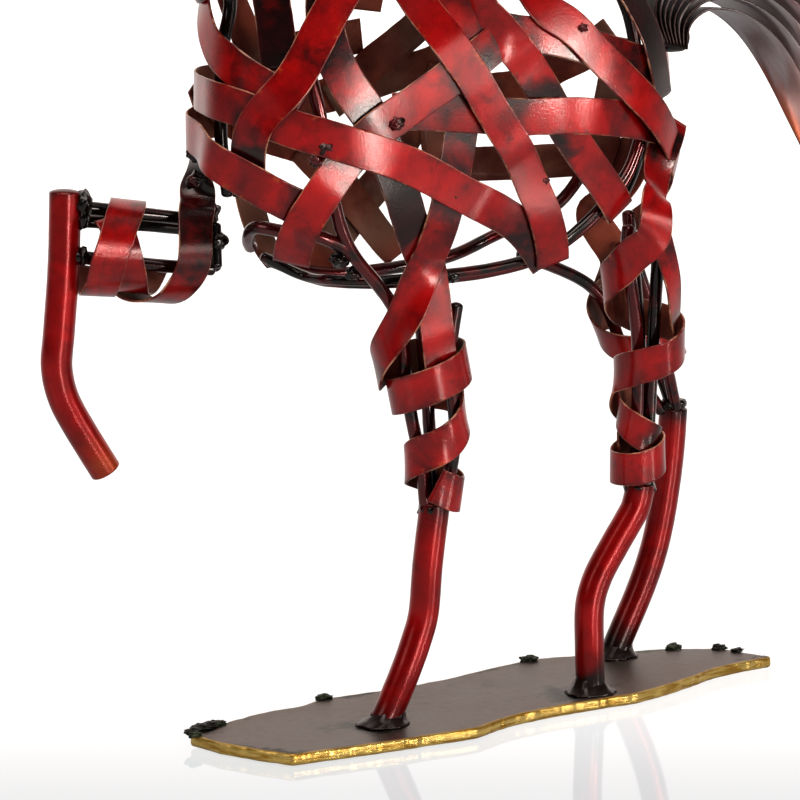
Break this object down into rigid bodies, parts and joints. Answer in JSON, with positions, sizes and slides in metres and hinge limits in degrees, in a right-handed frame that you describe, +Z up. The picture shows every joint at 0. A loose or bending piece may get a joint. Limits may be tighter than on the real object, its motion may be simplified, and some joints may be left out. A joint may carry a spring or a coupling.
{
  "type": "welded strip horse sculpture",
  "caption": "Prancing horse woven from flat red steel strips over a rod frame, on round lower legs and a torch-cut plate.",
  "frame": {"origin": "middle of the plate's underside", "axes": "+Z up from the plate to the head, the horse faces -X and its left side is -Y"},
  "size_m": [0.3585, 0.0834, 0.4001],
  "materials": {
    "red_lacquered_steel": "glossy translucent red lacquer with airbrushed black shading at the crossings",
    "dark_red_steel": "glossy dark red to black lacquer",
    "blackened_steel": "glossy blackened rod with weld beads",
    "brown_steel": "matte brown inner faces of the strips",
    "coppered_steel": "ground steel heat-tinted from silver grey through mauve to copper",
    "bronzed_plate": "dark taupe plate with a gold-brown torch-cut edge, green-black crust and scratches"
  },
  "bodies": {
    "root": {"brisket_high": "red_lacquered_steel", "brisket_girth": "red_lacquered_steel", "brisket_low": "dark_red_steel", "shoulder": "red_lacquered_steel", "rib_cross": "red_lacquered_steel", "elbow": "red_lacquered_steel", "flank_over": "red_lacquered_steel", "foreleg": "red_lacquered_steel", "loin": "red_lacquered_steel", "flank_band": "red_lacquered_steel", "croup": "red_lacquered_steel", "hip": "red_lacquered_steel", "stifle": "red_lacquered_steel", "tail_head": "dark_red_steel", "throat_near": "dark_red_steel", "thigh": "red_lacquered_steel", "far_brisket": "brown_steel", "far_girth": "brown_steel", "far_elbow": "brown_steel", "far_flank": "brown_steel", "far_stifle": "brown_steel", "far_thigh": "brown_steel", "far_hip": "brown_steel", "far_back": "brown_steel", "far_loin": "brown_steel", "far_shoulder": "brown_steel", "far_cross": "brown_steel", "far_throat": "dark_red_steel", "hock_near_wrap": "red_lacquered_steel", "hock_near_cross": "red_lacquered_steel", "hock_far_wrap": "red_lacquered_steel", "knee_raised_wrap": "dark_red_steel", "knee_raised_cross": "red_lacquered_steel", "neck_rising_1": "red_lacquered_steel", "neck_rising_2": "red_lacquered_steel", "neck_falling_1": "red_lacquered_steel", "neck_falling_2": "red_lacquered_steel", "base_plate": "bronzed_plate", "near_fore_cannon": "red_lacquered_steel", "near_hind_cannon": "red_lacquered_steel", "far_hind_cannon": "red_lacquered_steel", "raised_cannon": "red_lacquered_steel", "belly_rods": "dark_red_steel", "spine_rods": "blackened_steel", "fore_rods": "dark_red_steel", "hind_rods": "dark_red_steel", "far_hind_rods": "blackened_steel", "raised_rods": "blackened_steel", "head": "dark_red_steel", "tail": "coppered_steel", "mane": "coppered_steel"}
  },
  "joints": []
}
